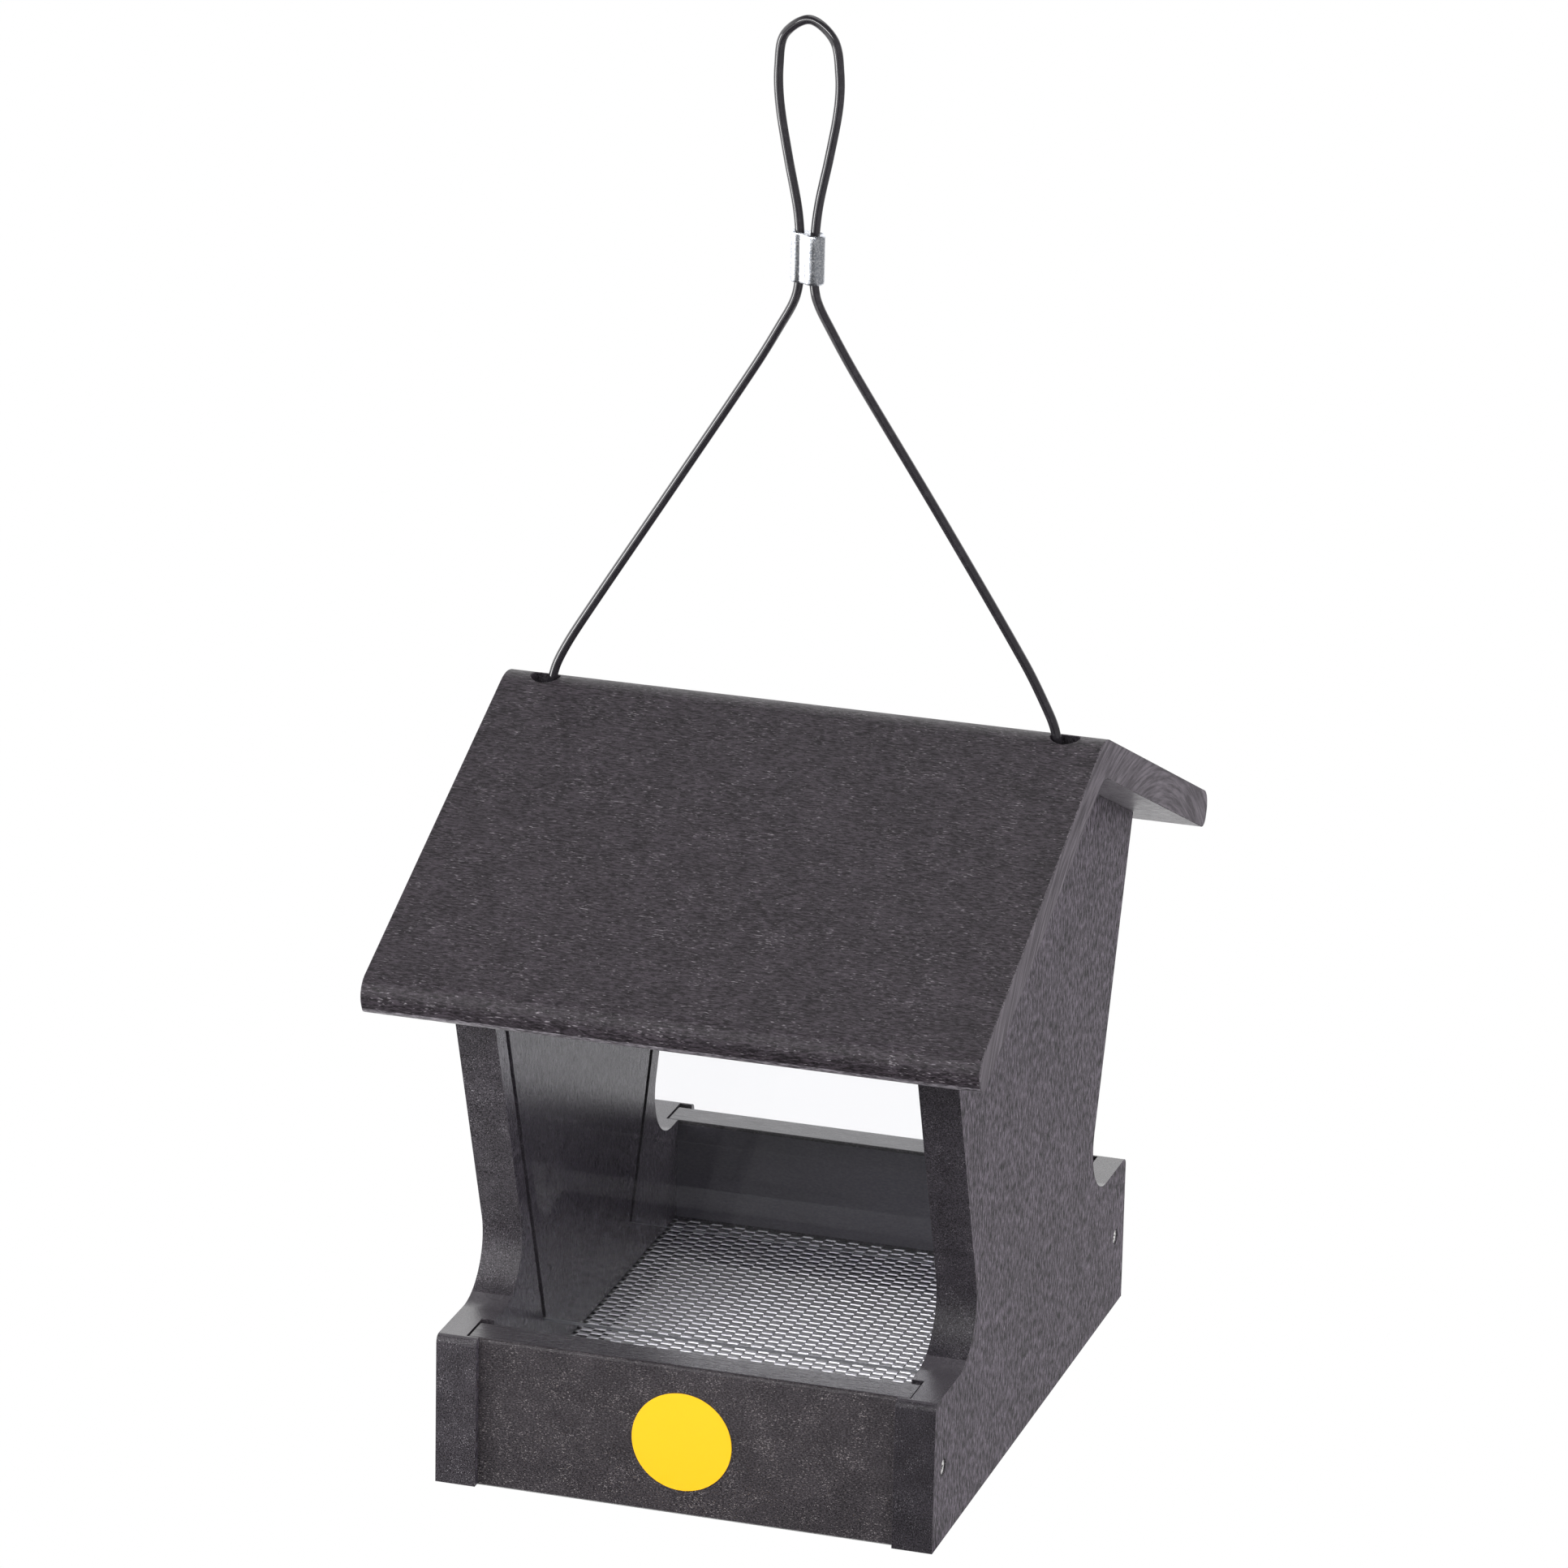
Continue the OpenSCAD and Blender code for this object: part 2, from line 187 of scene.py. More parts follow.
coat, tree, shader, place = finish_named("cable_coat", IOR=1.7)
smear = noise(tree, place, 90, 3)
tree.links.new(ramp(tree, smear, 0.35, 0.7, 0.05, 0.11), shader.inputs["Roughness"])
wear = blend_colours(tree, ramp(tree, noise(tree, place, 420, 2), 0.5, 0.75),
                     (0.016, 0.0145, 0.0175, 1), (0.026, 0.024, 0.028, 1))
tree.links.new(wear, shader.inputs["Base Color"])

path = smooth_path(route, 12)
first, last = np.flatnonzero(path[:, 1] > ridge_z)[[0, -1]]
parts = {"hanger_cable_upper": slice(first, last + 1), "hanger_cable_left": slice(0, first + 1),
         "hanger_cable_right": slice(last, None)}
rings = tube_rings(path, cable_r)
cables, stretches = {}, {}
for name, part in parts.items():
    cables[name] = cable = tube(name, rings[part])
    stretches[name] = path[part][::-1] if name == "hanger_cable_right" else path[part]
    cable.data.materials.append(coat)
    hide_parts("hanger_cable")
    if name == "hanger_cable_upper":
        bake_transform(cable)
    else:
        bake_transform(cable)

# Crimped sleeve: a soft aluminium sleeve pressed around both legs of the cable. The pliers left
# it a little askew, with its right barrel forward, a flat web between and a pitted skin.
sleeve_low, sleeve_h, sleeve_sides = 0.4470, 0.0195, 96
left_barrel, right_barrel = (-0.0060, 0.0, 0.0027), (0.0005, 0.0003, 0.0041)  # x, forward, radius
web_front, web_back = (0.0018, 0.38), (0.0024, 0.1)  # depth at the left barrel, slope to the right
slant_low, slant_more = 0.04, 0.05  # slope of the lower end, and what the upper end has more
sleeve_mid = (left_barrel[0] - left_barrel[2] + right_barrel[0] + right_barrel[2]) / 2
sleeve_half = right_barrel[0] + right_barrel[2] - sleeve_mid


def sleeve_depth(x, way, inset):
    """Depth of the sleeve at x, to the front for way = 1 and to the back for -1: the deepest of
    two round barrels and of the sloping web that joins them."""
    rounds = [way * ahead + np.sqrt(np.clip((radius - inset)**2 - (x - middle)**2, 0, None))
              for middle, ahead, radius in (left_barrel, right_barrel)]
    web_start, web_slope = web_front if way > 0 else web_back
    web = web_start + (x - left_barrel[0]) * web_slope - inset
    between = (x > left_barrel[0]) & (x < right_barrel[0])
    limb = np.abs(x - sleeve_mid) > sleeve_half - inset - 1e-6
    deep = np.maximum(np.maximum(rounds[0], rounds[1]), np.where(between, web, -1))
    return np.where(limb, way * np.where(x > 0, right_barrel[1], left_barrel[1]), deep)


turns = 2 * np.pi * (np.arange(sleeve_sides) + 0.5) / sleeve_sides
# How far each row lies inside the skin and above the lower end. The rounded ends are alike
rim = [(0.0016, 0.0008), (0.0009, 0.0001), (0.0004, 0.0), (0.0001, 0.0003), (0.0, 0.0009),
       (0.0, 0.005)]
rows = [*rim, (0.0, sleeve_h / 2), *((inset, sleeve_h - rise) for inset, rise in reversed(rim))]
rings = []
for inset, rise in rows:
    x = sleeve_mid + (sleeve_half - inset) * np.cos(turns)
    y = np.where(np.sin(turns) < 0, -sleeve_depth(x, 1, inset), sleeve_depth(x, -1, inset))
    skew = -(slant_low + slant_more * rise / sleeve_h) * (x - left_barrel[0])
    rings.append(np.stack([x, y, sleeve_low + rise + skew], -1))
sleeve = new_piece("cable_sleeve_crimped", np.vstack(rings), capped_faces(len(rows), sleeve_sides))


def add_relief(tree, shader, height, strength, full_height=0.0002):
    """Tilts the light on the surface as if the value lifted it, up to the full height at 1."""
    relief = put(tree, "ShaderNodeBump", {
        "Height": height, "Strength": strength, "Distance": full_height})
    tree.links.new(relief.outputs[0], shader.inputs["Normal"])


crimp, tree, shader, place = finish_named("crimped_aluminium", Metallic=1.0)
grain = noise(tree, place, 1500, 4, 0.7)
tree.links.new(ramp(tree, grain, 0.3, 0.7, 0.16, 0.28), shader.inputs["Roughness"])
pitted = blend_colours(tree, ramp(tree, grain, 0.40, 0.60),
                       (0.50, 0.53, 0.60, 1), (0.93, 0.94, 0.98, 1))
tree.links.new(pitted, shader.inputs["Base Color"])
add_relief(tree, shader, grain, 0.3, 0.0003)
sleeve.data.materials.append(crimp)
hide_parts("cable_sleeve")
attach(sleeve, "feeder")

# Cable stops: short sleeves crimped on the cable's ends inside the side panels, which carry the
# whole weight of the feeder. Two rings of the pliers' jaws are pressed into each.
stop_r, stop_l, stop_x, stop_sides = 0.004, 0.010, 0.0725, 32
bore_r, broken, pressed_r = 0.0019, 0.0004, 0.0034
rows = [(bore_r, 0.0), (stop_r - broken, 0.0), (stop_r, broken), (stop_r, 0.0022),
        (pressed_r, 0.003), (pressed_r, 0.0042), (stop_r, 0.005), (pressed_r, 0.0058),
        (pressed_r, 0.007), (stop_r, 0.0078), (stop_r, stop_l - broken),
        (stop_r - broken, stop_l), (bore_r, stop_l)]


for side, word in ((-1, "left"), (1, "right")):
    turns = side * 2 * np.pi * np.arange(stop_sides) / stop_sides
    rings = [np.stack([np.full(stop_sides, side * (stop_x + along)), radius * np.cos(turns),
                       panel_hole_z + radius * np.sin(turns)], -1) for radius, along in rows]
    stop = new_piece(f"cable_stop_{word}_crimped", np.vstack(rings),
                     grid_faces(len(rows), stop_sides))
    stop.data.materials.append(crimp)
    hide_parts(f"cable_stop_{word}")
    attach(stop, "feeder")

# Boards: charcoal recycled plastic, extruded with a fine light fleck in it. The wide faces are
# planed along the board, the narrow ones are sawn and sanded, and every edge is barely broken. Some
# faces take lighter or darker copies of their finish, which carry painted light and painted shade.


def reckon(tree, operation, first, second, **settings):
    """The value of one sum, product or comparison of two values."""
    node = put(tree, "ShaderNodeMath", {0: first, 1: second}, operation=operation, **settings)
    return node.outputs[0]


def board_pattern():
    """Streaks, flecks and slow mottling of the board, as three values from 0 to 1."""
    group = bpy.data.node_groups.new("board_pattern", "ShaderNodeTree")
    face = group.interface
    face.new_socket("Vector", in_out="INPUT", socket_type="NodeSocketVector")
    face.new_socket("Stretch", in_out="INPUT", socket_type="NodeSocketVector")
    face.new_socket("Flecks", in_out="INPUT", socket_type="NodeSocketFloat")
    for name in ("Streak", "Fleck", "Mottle"):
        face.new_socket(name, in_out="OUTPUT", socket_type="NodeSocketFloat")
    given, end = put(group, "NodeGroupInput").outputs, put(group, "NodeGroupOutput")
    place = given["Vector"]
    drawn = put(group, "ShaderNodeVectorMath", {0: place, 1: given["Stretch"]},
                operation="MULTIPLY").outputs[0]
    patch = ramp(group, noise(group, place, 75, 2, 0.55), 0.3, 0.7, -0.025, 0.025)
    streak = reckon(group, "ADD", noise(group, drawn, 1.0, 4, 0.68), patch)
    group.links.new(ramp(group, streak, 0.40, 0.66), end.inputs["Streak"])
    cluster = ramp(group, noise(group, place, 120, 1), 0.3, 0.75, -0.05, 0.06)
    fleck = reckon(group, "ADD", noise(group, drawn, 1.35, 1, 0.5), given["Flecks"])
    fleck = reckon(group, "ADD", fleck, cluster)
    group.links.new(ramp(group, fleck, 0.70, 0.84), end.inputs["Fleck"])
    group.links.new(ramp(group, noise(group, place, 26, 3, 0.6), 0.3, 0.7), end.inputs["Mottle"])
    return group


pattern = board_pattern()


def board_finish(name, stretch, dark, light, fleck, flecks, rough, ior, relief, arc_centre=None):
    """One surface of the board: stretch gives the pattern's cycles in a metre along X, Y and Z.
    With an arc centre the first is the cycles across the arcs around it."""
    material, tree, shader, place = finish_named(name, IOR=ior)
    if arc_centre:
        across = put(tree, "ShaderNodeVectorMath", {0: place, 1: arc_centre}, operation="DISTANCE")
        along = put(tree, "ShaderNodeSeparateXYZ", {0: place}).outputs[1]
        place = put(tree, "ShaderNodeCombineXYZ", {0: across.outputs["Value"], 1: along}).outputs[0]
    marks = put(tree, "ShaderNodeGroup", {}, node_tree=pattern)
    tree.links.new(place, marks.inputs["Vector"])
    marks.inputs["Stretch"].default_value = stretch
    marks.inputs["Flecks"].default_value = flecks
    streak = marks.outputs["Streak"]
    body = blend_colours(tree, streak, (*dark, 1), (*light, 1))
    tinted = blend_colours(tree, ramp(tree, marks.outputs["Mottle"], 0, 1, 0.12, 0), body,
                           (*(0.6 * c for c in dark), 1))
    flecked = blend_colours(tree, marks.outputs["Fleck"], tinted, (*fleck, 1))
    tree.links.new(flecked, shader.inputs["Base Color"])
    tree.links.new(ramp(tree, streak, 0, 1, rough + 0.06, rough - 0.06), shader.inputs["Roughness"])
    add_relief(tree, shader, streak, relief)
    return material


# In each call: cycles, dark and light colour, the flecks' colour and how many more there are, then
# roughness, refraction and relief
roof_planed = board_finish(
    "board_planed_along_ridge", (360, 1500, 1500), (0.0066, 0.0047, 0.0067),
    (0.060, 0.0482, 0.0605), (0.22, 0.20, 0.22), 0.045, 0.46, 1.40, 0.4)
panel_planed = board_finish(
    "board_planed_upright", (1250, 620, 260), (0.0030, 0.0020, 0.0034), (0.108, 0.086, 0.116),
    (0.24, 0.21, 0.25), 0.01, 0.5, 1.25, 0.4)
# The panels' inner faces: a lighter copy of the planed finish, painted light inside the hopper
panel_inside_painted_light = board_finish(
    "board_planed_inside_painted_light", (1250, 800, 280), (0.030, 0.0258, 0.0340), (0.136, 0.122, 0.146),
    (0.2, 0.19, 0.21), -0.02, 0.22, 1.40, 0.15)
rail_skin = board_finish(
    "board_skin", (1150, 2000, 2000), (0.0125, 0.0104, 0.0127), (0.083, 0.0725, 0.0815),
    (0.26, 0.235, 0.24), 0.065, 0.45, 1.4, 0.3)
# The rails' inner faces: a lighter copy of the skin, painted light inside the trough
rail_inside_painted_light = board_finish(
    "board_skin_inside_painted_light", (700, 1400, 1400), (0.082, 0.077, 0.094), (0.118, 0.112, 0.133),
    (0.14, 0.135, 0.15), 0.0, 0.35, 1.5, 0.1)
sawn = board_finish(
    "board_sawn", (2000, 2000, 1600), (0.007, 0.0056, 0.0077), (0.090, 0.080, 0.094),
    (0.30, 0.28, 0.306), 0.065, 0.4, 1.42, 0.4)
# A darker copy of the sawn finish: painted shade, on the right panel where the light falls off and
# in the roof's holes
sawn_painted_shade = board_finish(
    "board_sawn_painted_shade", (2000, 2000, 1600), (0.005, 0.0040, 0.0055), (0.060, 0.053, 0.065),
    (0.20, 0.186, 0.204), 0.05, 0.4, 1.4, 0.4)
# Sanded tops of the rails and of the panels' ledges, lighter than the other faces: painted light
# from above
sanded_top_painted_light = board_finish(
    "board_sanded_top_painted_light", (150, 1600, 1600), (0.038, 0.034, 0.040), (0.088, 0.082, 0.092),
    (0.17, 0.16, 0.175), 0.02, 0.24, 1.78, 0.05)
sanded_ledge_painted_light = board_finish(
    "board_sanded_ledge_painted_light", (1500, 1800, 1800), (0.036, 0.032, 0.038), (0.110, 0.102, 0.115),
    (0.2, 0.19, 0.205), 0.02, 0.25, 1.8, 0.1)
# The roof's underside: a much lighter copy of the planed finish, painted light from the white floor
# below
roof_under_painted_light = board_finish(
    "board_planed_under_painted_light", (300, 1200, 1200), (0.024, 0.0195, 0.0257), (0.28, 0.258, 0.288),
    (0.34, 0.32, 0.34), 0.02, 0.36, 1.6, 0.3)
end_sawn = board_finish(
    "board_end_sawn", (500, 40, 0), (0.034, 0.0275, 0.0352), (0.096, 0.080, 0.099),
    (0.13, 0.115, 0.132), -0.05, 0.5, 1.3, 0.2, (0.1193, 0.045, 0.10))
# The broken edges, lighter than the faces beside them: a painted highlight along every edge
broken_edge_painted_highlight = board_finish(
    "board_broken_edge_painted_highlight", (1000, 1000, 1000), (0.042, 0.037, 0.043), (0.16, 0.146, 0.162),
    (0.28, 0.26, 0.28), 0.05, 0.7, 1.2, 0.1)


def board_from(node, name, finish_of, edge=0.00035):
    """A copy of the solid's faces, merged, with its edges broken in a lighter finish that is a
    painted highlight, and a finish for each face.
    """
    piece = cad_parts[node].copy()
    piece.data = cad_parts[node].data.copy()
    piece.name = piece.data.name = name
    bpy.context.collection.objects.link(piece)
    piece.parent = None
    piece.matrix_world = Matrix.Identity(4)
    work = bmesh.new()
    work.from_mesh(piece.data)
    bmesh.ops.remove_doubles(work, verts=work.verts, dist=1e-6)
    bmesh.ops.dissolve_limit(work, angle_limit=radians(0.4), verts=work.verts, edges=work.edges)
    work.to_mesh(piece.data)
    work.free()
    piece.data.materials.clear()
    kinds = []
    for polygon in piece.data.polygons:
        kind = finish_of(polygon.center, polygon.normal)
        if kind not in kinds:
            kinds.append(kind)
        polygon.material_index = kinds.index(kind)
        polygon.use_smooth = True
    for kind in kinds + [broken_edge_painted_highlight]:
        piece.data.materials.append(kind)
    broken = piece.modifiers.new("broken edges", "BEVEL")
    broken.width, broken.segments, broken.limit_method = edge, 2, "ANGLE"
    broken.angle_limit, broken.material = radians(28), len(kinds)
    broken.use_clamp_overlap = True
    flat = piece.modifiers.new("flat faces stay flat", "WEIGHTED_NORMAL")
    flat.keep_sharp = True
    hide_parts(node)
    return piece


# Side panels: 5/8 inch boards cut to one outline, with a housing for each rail, a sloping groove
# for each pane and a saw kerf for the mesh in their inner faces. The grain stands upright.
panel_outer_x, panel_inner_x, face_near = 0.0984, 0.0825, 0.0003


def panel_finish(centre, normal):
    """The finish of a panel's face: planed on the wide sides, the inner one in a lighter copy as
    painted light, sanded on top with painted light from above, and sawn elsewhere, darker on the
    right panel as painted shade.
    """
    if abs(normal.x) > 0.9 and abs(abs(centre.x) - panel_outer_x) < face_near:
        return panel_planed
    if abs(normal.x) > 0.9 and abs(abs(centre.x) - panel_inner_x) < face_near:
        return panel_inside_painted_light
    if normal.z > 0.9:
        return sanded_ledge_painted_light
    # The right panel's sawn faces take the darker copy, painted shade
    return sawn if centre.x < 0 else sawn_painted_shade


for word in ("left", "right"):
    panel = board_from(f"side_panel_{word}", f"side_board_{word}", panel_finish, edge=0.0006)
    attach(panel, "feeder")

# Trough rails: boards on edge between the side panels, screwed through them. The front one shows
# the board's moulded skin, and both have their upper edges rounded.
kerf_z, kerf_near = 0.0168, 0.004


def rail_finish(centre, normal):
    """The finish of a rail's face: skin outside and a lighter copy of it inside as painted light,
    sanded on top with painted light from above, sawn below and in the kerf.
    """
    if abs(normal.y) > 0.95 and abs(centre.z - kerf_z) > kerf_near:
        return rail_skin if centre.y * normal.y > 0 else rail_inside_painted_light
    if normal.z > 0.9:
        return sanded_top_painted_light
    return rail_skin if normal.z > 0.1 else sawn


for word in ("front", "back"):
    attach(board_from(f"{word}_rail", f"{word}_rail_board", rail_finish), "feeder")

# Roof: one thick sheet bent to a peak, planed along the ridge, with rounded eaves and sawn ends.
# Two holes beside the panels let it slide up the cable.
roof_hole_x, roof_hole_near = 0.1035, 0.0062


def roof_finish(centre, normal):
    """The finish of the roof's face: arcs of the saw on the ends, and planed above and below, the
    underside in a much lighter copy as painted light from the floor.
    """
    if abs(normal.x) > 0.9:
        return end_sawn
    in_hole = abs(abs(centre.x) - roof_hole_x) < roof_hole_near and abs(centre.y) < roof_hole_near
    # The sides of the holes take the darker sawn copy, painted shade
    if in_hole and abs(normal.z) < 0.3:
        return sawn_painted_shade
    return roof_under_painted_light if normal.z < -0.5 else roof_planed


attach(board_from("roof", "roof_board", roof_finish), "roof_body")

# Mesh floor: expanded aluminium in rows of strands that meet at staggered bonds every 9.6 mm along
# X. Drawing it open twists the strands between the bonds, which stay nearly flat and have sheared,
# slanted front edges. The rim lies in the kerfs.
long_way, row_pitch, strand, gauge, bond_l = 0.0096, 0.00235, 0.00110, 0.00042, 0.0042
bond_tip, strand_tip, edge_slant, least_step = radians(-4), radians(-24), 0.00024, 0.0002
floor_low, floor_high = (np.array(corner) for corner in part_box("mesh_floor"))
middle_z = (floor_low[2] + floor_high[2]) / 2
rows_y = np.arange(floor_low[1] + row_pitch * 0.6, floor_high[1] - row_pitch * 0.4, row_pitch)
# Six stations in each period: both ends of a bond and the middle of a strand, twice over
stations = np.array([-bond_l / 2, bond_l / 2, long_way / 4, long_way / 2 - bond_l / 2,
                     long_way / 2 + bond_l / 2, long_way * 3 / 4])
lift = np.array([1.0, 1, 0, -1, -1, 0])
periods = np.arange(int((floor_high[0] - floor_low[0]) / long_way) + 2)
every = (periods[:, None] * long_way + stations).ravel()
every += (floor_low[0] + floor_high[0]) / 2 - (every[0] + every[-1]) / 2
inner = every[(every > floor_low[0] + least_step) & (every < floor_high[0] - least_step)]
along = np.concatenate([[floor_low[0]], inner, [floor_high[0]]])
wave = np.interp(along, every, np.tile(lift, len(periods)))
corners = np.array([(-0.5, -0.5), (0.5, -0.5), (0.5, 0.5), (-0.5, 0.5)]) * (strand, gauge)
points, faces = [], []
for row, y in enumerate(rows_y):
    way = 1 if row % 2 == 0 else -1
    tip = strand_tip + (bond_tip - strand_tip) * np.abs(wave)[:, None]
    centre_y = y + way * wave * (row_pitch / 2 - strand / 2 * cos(bond_tip))
    centre_z = middle_z - way * wave * strand / 2 * sin(bond_tip)
    wide = corners[:, 0] + (np.arange(4) == 3) * edge_slant * np.clip(way * wave, 0, 1)[:, None]
    across_y = wide * np.cos(tip) - corners[:, 1] * np.sin(tip)
    across_z = wide * np.sin(tip) + corners[:, 1] * np.cos(tip)
    x = np.broadcast_to(along[:, None], across_y.shape)
    points.append(np.stack([x, centre_y[:, None] + across_y, centre_z[:, None] + across_z],
                           -1).reshape(-1, 3))
    faces += [face + row * len(along) * 4 for face in capped_faces(len(along), 4)]
mesh_floor = new_piece("expanded_metal", np.vstack(points), faces, smooth=False)
# Of the four faces round each stretch of a strand, the last is the front edge. Two caps follow
cut_front = np.tile(np.append(np.tile([0, 0, 0, 1], len(along) - 1), [0, 0]), len(rows_y))
mesh_floor.data.polygons.foreach_set("material_index", cut_front.astype(np.int32))
mill, tree, shader, place = finish_named(
    "mill_aluminium", Base_Color=(0.70, 0.69, 0.735, 1), Metallic=1.0)
dulled = noise(tree, place, 700, 3)
tree.links.new(ramp(tree, dulled, 0.3, 0.7, 0.39, 0.51), shader.inputs["Roughness"])
sheared = finish_named(
    "sheared_aluminium", Base_Color=(0.85, 0.845, 0.88, 1), Metallic=1.0, Roughness=0.42)[0]
for metal in (mill, sheared):
    mesh_floor.data.materials.append(metal)
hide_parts("mesh_floor")
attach(mesh_floor, "feeder")

# Panes: clear sheets that lean outward in their grooves, with polished faces and sawn edges that
# scatter the light. Lamps shine through them.


def lets_lamps_through(tree, shader, tint):
    """Puts a tinted clear shader in the surface's place for rays from lamps, and for those that
    another surface has sent on: both count as 1, and the sum is cut off at 1."""
    clear = put(tree, "ShaderNodeBsdfTransparent", {"Color": tint})
    ray = put(tree, "ShaderNodeLightPath").outputs
    sent_on = reckon(tree, "ADD", ray["Glossy Depth"], ray["Diffuse Depth"])
    passing = reckon(tree, "ADD", sent_on, ray["Is Shadow Ray"], use_clamp=True)
    mixed = put(tree, "ShaderNodeMixShader", {
        0: passing, 1: shader.outputs[0], 2: clear.outputs[0]})
    tree.links.new(mixed.outputs[0], tree.nodes["Material Output"].inputs["Surface"])


polished, tree, shader, place = finish_named(
    "pane_polished", Base_Color=(0.975, 0.975, 0.985, 1), Roughness=0.0, IOR=1.49,
    Transmission_Weight=1.0)
lets_lamps_through(tree, shader, (0.95, 0.95, 0.96, 1))
frosted, tree, shader, place = finish_named(
    "pane_sawn_edge", Base_Color=(0.30, 0.31, 0.34, 1), Roughness=0.4, IOR=1.49,
    Transmission_Weight=0.6)
add_relief(tree, shader, noise(tree, place, 1800, 2), 0.4)


def pane_finish(centre, normal):
    """The finish of a pane's face: polished on the two wide sides, which face front and back."""
    return polished if abs(normal.y) > 0.8 else frosted


for word in ("front", "back"):
    pane = board_from(f"{word}_pane", f"{word}_clear_sheet", pane_finish, edge=0.0002)
    pane.data.materials[-1] = frosted
    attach(pane, "feeder")

# Screws: stainless countersunk heads with a cross recess, four in all, driven a little below the
# panels' outer faces. A straight shank goes through the panel into the end of each rail.
head_r, sunk, cone_l, shank_r, screw_l = 0.00312, 0.00055, 0.00205, 0.00175, 0.03145
screw_sides, head_rows, cross_turn = 48, 18, 0.5
slot_half, slot_wall, slot_reach, slot_run, slot_deep = 0.00055, 0.0002, 0.0017, 0.0013, 0.0011


def slot(a, b):
    """Share of the full depth at a across the slot and b along it: 1 within the walls, which are
    a little slanted, and falling off along the run to the slot's end."""
    return (np.clip((slot_half - np.abs(a)) / slot_wall, 0, 1)
            * np.clip((slot_reach - np.abs(b)) / slot_run, 0, 1))


def recess(x, y):
    """Depth of the cross at a place on the head: the deeper of two slots square to each other."""
    return slot_deep * np.maximum(slot(x, y), slot(y, x))


screw_steel, tree, shader, place = finish_named(
    "screw_stainless", Base_Color=(0.78, 0.77, 0.76, 1), Metallic=1.0)
brushed = noise(tree, place, 1400, 3)
tree.links.new(ramp(tree, brushed, 0.3, 0.7, 0.16, 0.34), shader.inputs["Roughness"])
turns = 2 * np.pi * np.arange(screw_sides) / screw_sides
# Radius and depth of each ring: the head's face, then its rim and cone, the shank and the tip
reach = np.concatenate([np.linspace(0.00005, head_r - 0.00012, head_rows),
                        [head_r, head_r - 0.0001, shank_r, shank_r, 0.0008, 0.0001]])
depth = np.concatenate([np.linspace(0.00008, 0.0, head_rows),
                        [0.00012, 0.0003, cone_l, screw_l - 0.004, screw_l - 0.0012, screw_l]])
for name in ("front_left", "front_right", "back_left", "back_right"):
    low, high = (np.array(corner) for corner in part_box(f"screw_{name}"))
    way = 1 if high[0] > 0 else -1
    y, z = (low[1:] + high[1:]) / 2
    across, rise = reach[:, None] * np.cos(turns), reach[:, None] * np.sin(turns)
    cross = recess(across * cos(cross_turn) + rise * sin(cross_turn),
                   rise * cos(cross_turn) - across * sin(cross_turn))
    cut_in = np.where(np.arange(len(reach))[:, None] < head_rows, cross, 0)
    x = way * (max(abs(low[0]), abs(high[0])) - sunk - depth[:, None] - cut_in)
    rings = np.stack([x, y + way * across, z + rise], -1).reshape(-1, 3)
    screw = new_piece(f"screw_{name}_driven", rings, capped_faces(len(reach), screw_sides))
    if way < 0:
        screw.data.flip_normals()
    screw.data.materials.append(screw_steel)
    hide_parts(f"screw_{name}")
    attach(screw, "feeder")

# Label: a round yellow vinyl sticker on the front rail, left bare.
vinyl, tree, shader, place = finish_named(
    "label_vinyl", Base_Color=(1.0, 0.55, 0.007, 1), Roughness=0.38, IOR=1.45)
add_relief(tree, shader, noise(tree, place, 500, 2), 0.08)
label = board_from("label_disc", "round_label", lambda centre, normal: vinyl, edge=0.00015)
label.data.materials[-1] = vinyl
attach(label, "feeder")

# Studio: the feeder stands on a white sheet in a white room that is darker at the front right. A
# wide lamp hangs above the front, a tall strip at the front left draws the line on the cable, and
# large soft ones stand at the front right and the right side and hang above.
floor_reach, floor_z, foot_x, foot_y = 6, -0.0008, 0.0975, 0.1295
corners = [(x * floor_reach, y * floor_reach, floor_z)
           for x, y in ((-1, -1), (1, -1), (1, 1), (-1, 1))]
floor = new_piece("studio_floor", corners, [(0, 1, 2, 3)])
white, tree, shader, place = finish_named(
    "studio_white", Base_Color=(0.8, 0.8, 0.8, 1), Roughness=0.9)


def room_light(tree, direction):
    """How much of the white room shows that way: full at the left and behind, less at the front
    right, and little overhead."""
    towards = put(tree, "ShaderNodeVectorMath", {0: direction, 1: (-0.75, 0.66, 0.0)},
                  operation="DOT_PRODUCT").outputs["Value"]
    steep = put(tree, "ShaderNodeSeparateXYZ", {0: direction}).outputs[2]
    return reckon(tree, "MULTIPLY", ramp(tree, towards, -0.3, 0.35, 0.26, 1.6),
                  ramp(tree, steep, 0.4, 0.75, 1.0, 0.15))


def ray_kinds(tree):
    """Whether a ray comes straight from the camera, if also through clear sheets, whether it has
    been mirrored on its way, and the white that the camera sees, stronger behind clear sheets."""
    ray = put(tree, "ShaderNodeLightPath").outputs
    bounced = reckon(tree, "ADD", ray["Glossy Depth"], ray["Diffuse Depth"])
    return (reckon(tree, "LESS_THAN", bounced, 0.5),
            reckon(tree, "GREATER_THAN", ray["Glossy Depth"], 0.5),
            ramp(tree, ray["Is Transmission Ray"], 0, 1, 1.0, 1.18))


direct, mirror, plain = ray_kinds(tree)
x, y, _ = put(tree, "ShaderNodeSeparateXYZ", {0: place}).outputs
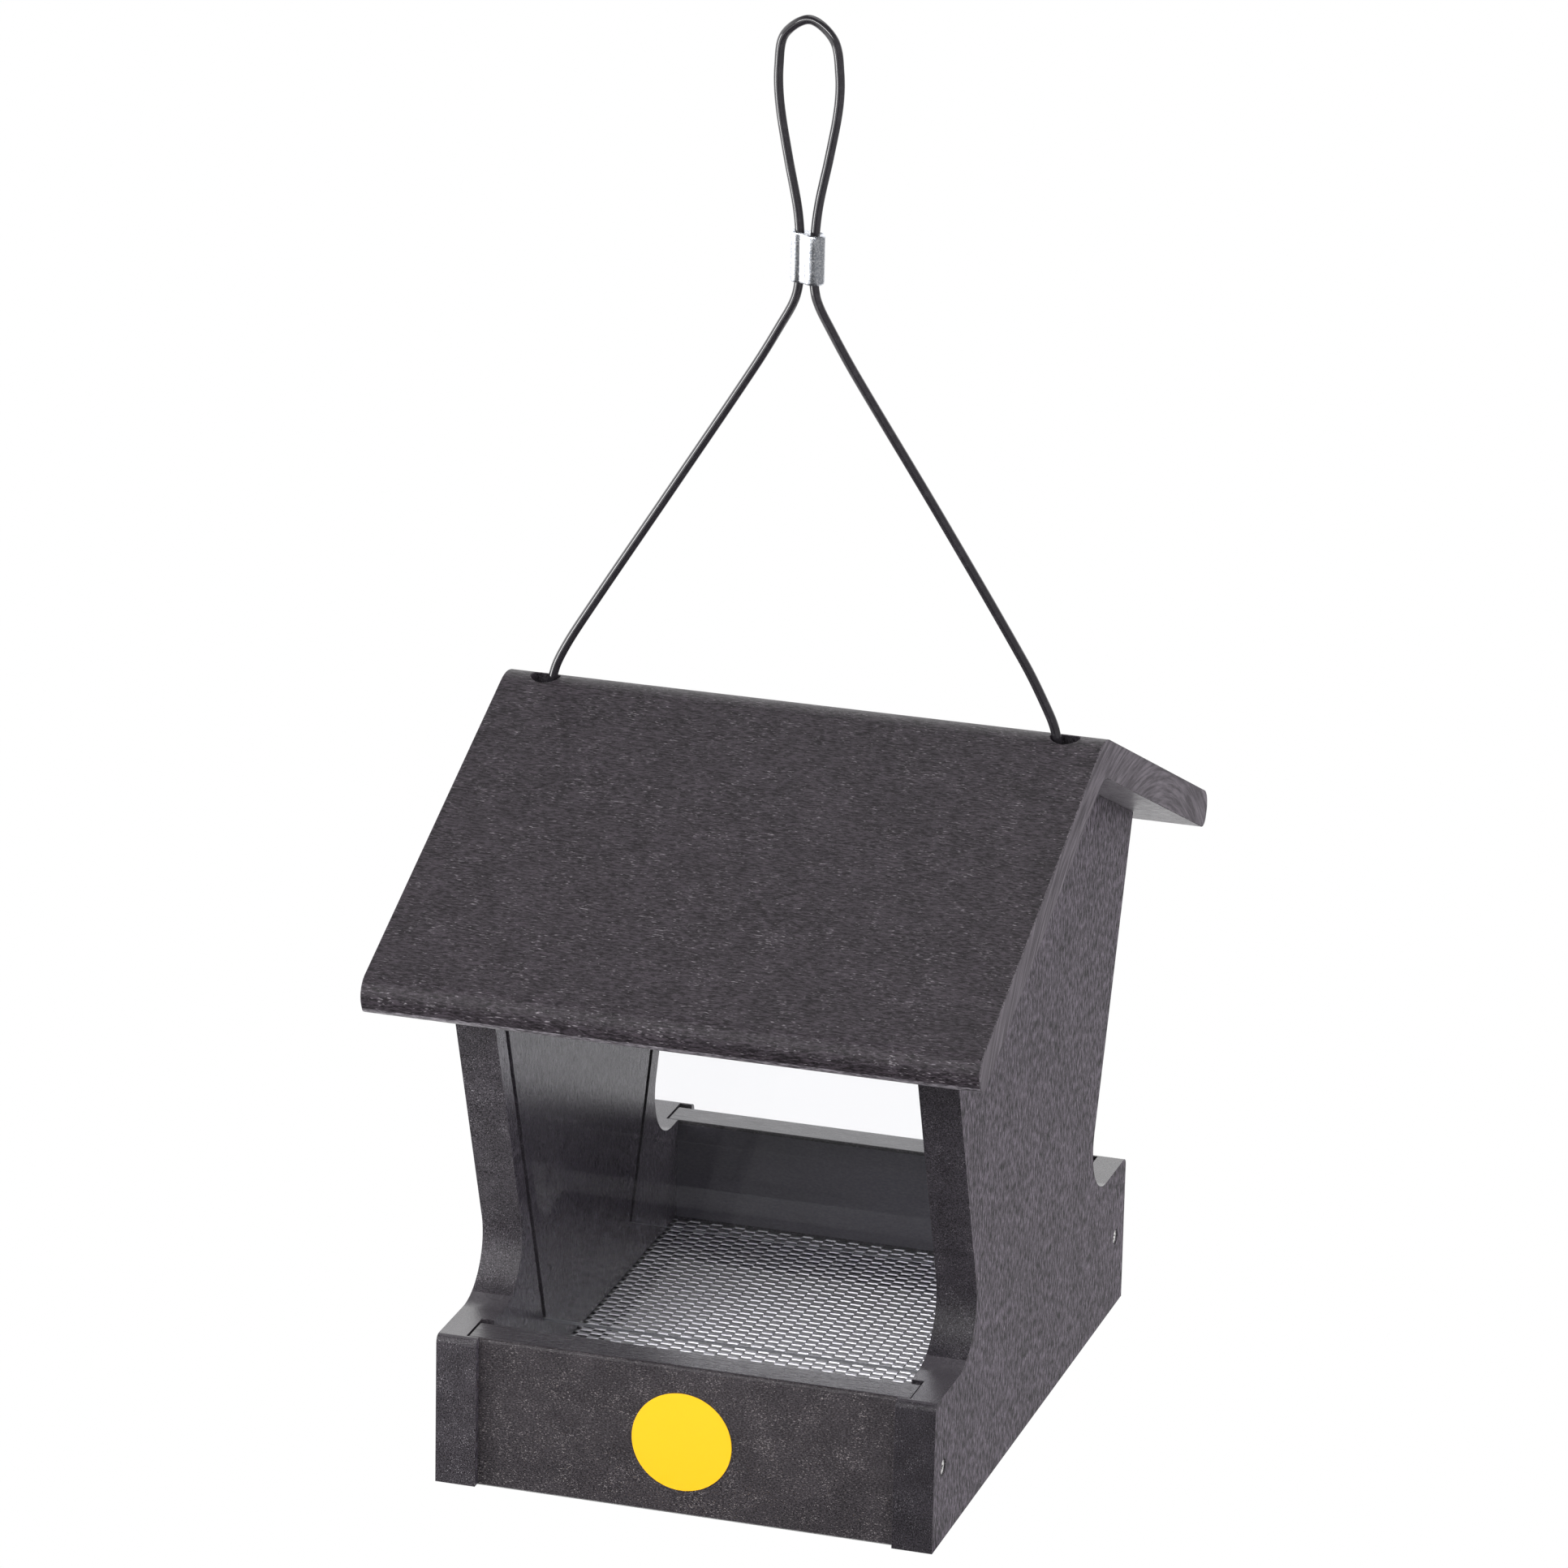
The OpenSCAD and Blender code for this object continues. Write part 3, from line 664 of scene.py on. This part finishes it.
# What mirrors in the feeder: a bright floor behind it and to its left, fading away to the right
behind = ramp(tree, y, -0.14, -0.11, 0.04, 1.0)
aside = ramp(tree, x, -0.6, -0.4, 1.3, 0.04)
left_or_behind = reckon(tree, "MAXIMUM", behind, aside)
fading = reckon(tree, "MULTIPLY", left_or_behind, ramp(tree, x, 0.35, 0.7, 1.0, 0.3))
mirrored = reckon(tree, "MAXIMUM", fading, ramp(tree, x, 0.4, 0.6, 0.0, 0.3))
strength = put(tree, "ShaderNodeMix", {0: direct, 2: mirrored, 3: plain}).outputs[0]
# The part under the feeder lies in its shade, which is deeper towards the back; a painted glow
# there, stronger at the front, stands in for the light that comes in through the mesh
far = put(tree, "ShaderNodeVectorMath", {0: place}, operation="ABSOLUTE").outputs[0]
far_x, far_y, _ = put(tree, "ShaderNodeSeparateXYZ", {0: far}).outputs
outside = reckon(tree, "MAXIMUM", reckon(tree, "GREATER_THAN", far_x, foot_x),
                 reckon(tree, "GREATER_THAN", far_y, foot_y))
painted_glow_under = ramp(tree, y, -0.11, 0.07, 0.17, 0.02)
lit = put(tree, "ShaderNodeMix", {0: outside, 2: painted_glow_under, 3: 1.0}).outputs[0]
share = reckon(tree, "MULTIPLY", reckon(tree, "MAXIMUM", direct, mirror), lit)
glow = put(tree, "ShaderNodeEmission", {"Color": (1, 1, 1, 1), "Strength": strength})
paper = put(tree, "ShaderNodeMixShader", {0: share, 1: shader.outputs[0], 2: glow.outputs[0]})
# Seen from below, the sheet isn't there
below = reckon(tree, "MULTIPLY", put(tree, "ShaderNodeNewGeometry").outputs["Backfacing"],
               put(tree, "ShaderNodeLightPath").outputs["Is Camera Ray"])
gone = put(tree, "ShaderNodeBsdfTransparent")
sheet = put(tree, "ShaderNodeMixShader", {0: below, 1: paper.outputs[0], 2: gone.outputs[0]})
tree.links.new(sheet.outputs[0], tree.nodes["Material Output"].inputs["Surface"])
floor.data.materials.append(white)
world = bpy.data.worlds.new("studio")
bpy.context.scene.world = world
world.use_nodes = True
tree = world.node_tree
direction = put(tree, "ShaderNodeTexCoord").outputs["Generated"]
direct, mirror, plain = ray_kinds(tree)
around = room_light(tree, direction)
mirrored = put(tree, "ShaderNodeMix", {0: mirror, 2: 0.42, 3: around}).outputs[0]
strength = put(tree, "ShaderNodeMix", {0: direct, 2: mirrored, 3: plain}).outputs[0]
tree.links.new(strength, tree.nodes["Background"].inputs["Strength"])
tree.nodes["Background"].inputs["Color"].default_value = (1, 1, 1, 1)
lit_point = Vector((0, 0, 0.15))
for name, stand, wide, high, power in (("key", (-0.15, -1.25, 0.88), 1.3, 0.3, 11),
                                       ("strip", (-0.85, -0.55, 0.32), 0.26, 0.6, 5.0),
                                       ("fill", (1.7, -1.5, 0.5), 0.9, 0.9, 8),
                                       ("side", (1.5, 0.12, 0.45), 0.9, 0.9, 13),
                                       ("top", (0.2, 0.5, 2.1), 1.4, 1.4, 9)):
    lamp = bpy.data.objects.new(name, bpy.data.lights.new(name, "AREA"))
    lamp.data.shape, lamp.data.size, lamp.data.size_y = "RECTANGLE", wide, high
    lamp.data.energy = power
    lamp.location = stand
    lamp.rotation_euler = (lit_point - Vector(stand)).to_track_quat("-Z", "Y").to_euler()
    lamp.visible_glossy = name in ("key", "strip", "top")
    bpy.context.collection.objects.link(lamp)

bpy.context.scene.view_settings.view_transform = "Standard"
